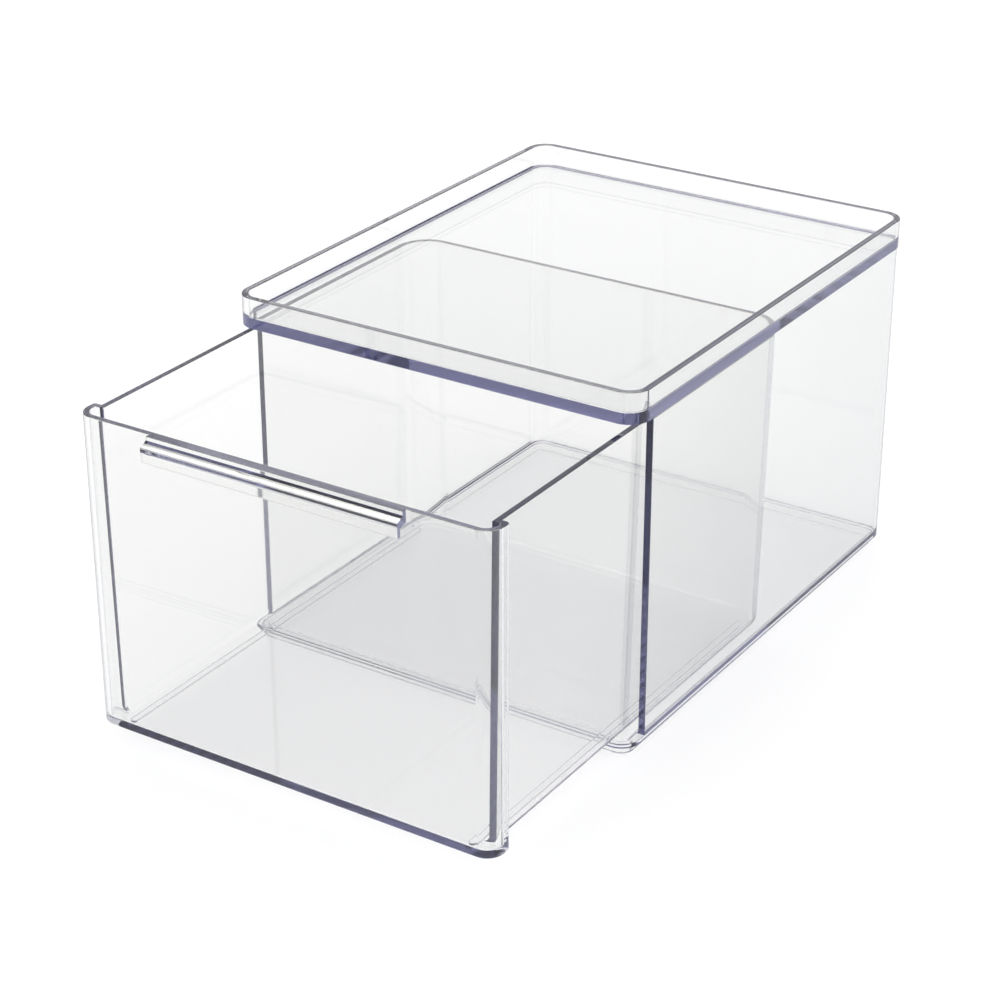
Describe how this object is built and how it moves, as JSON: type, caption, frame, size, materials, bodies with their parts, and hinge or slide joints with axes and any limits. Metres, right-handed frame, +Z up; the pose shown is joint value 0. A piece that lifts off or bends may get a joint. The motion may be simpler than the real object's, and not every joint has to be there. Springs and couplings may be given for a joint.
{
  "type": "stackable drawer box",
  "caption": "Clear stackable box with a pull-out drawer under a shallow top tray. The foot rim of one box drops into the tray rim of the next.",
  "frame": {"origin": "on the ground, under the middle of the whole object with its drawer partly open", "axes": "+X across the box to the right as seen from its front, +Y from the drawer's front to the back, +Z up"},
  "size_m": [0.152, 0.2709, 0.127],
  "materials": {
    "clear_case": "clear polished moulded plastic",
    "clear_tray": "clear polished moulded plastic",
    "clear_drawer": "clear polished moulded plastic"
  },
  "bodies": {
    "case": {"case_shell": "clear_case", "top_tray": "clear_tray"},
    "drawer": {"drawer": "clear_drawer"}
  },
  "joints": [
    {"name": "drawer_slide", "type": "slide", "parent": "case", "child": "drawer", "axis": [0, -1, 0], "range_m": [-0.079, 0.041]}
  ]
}
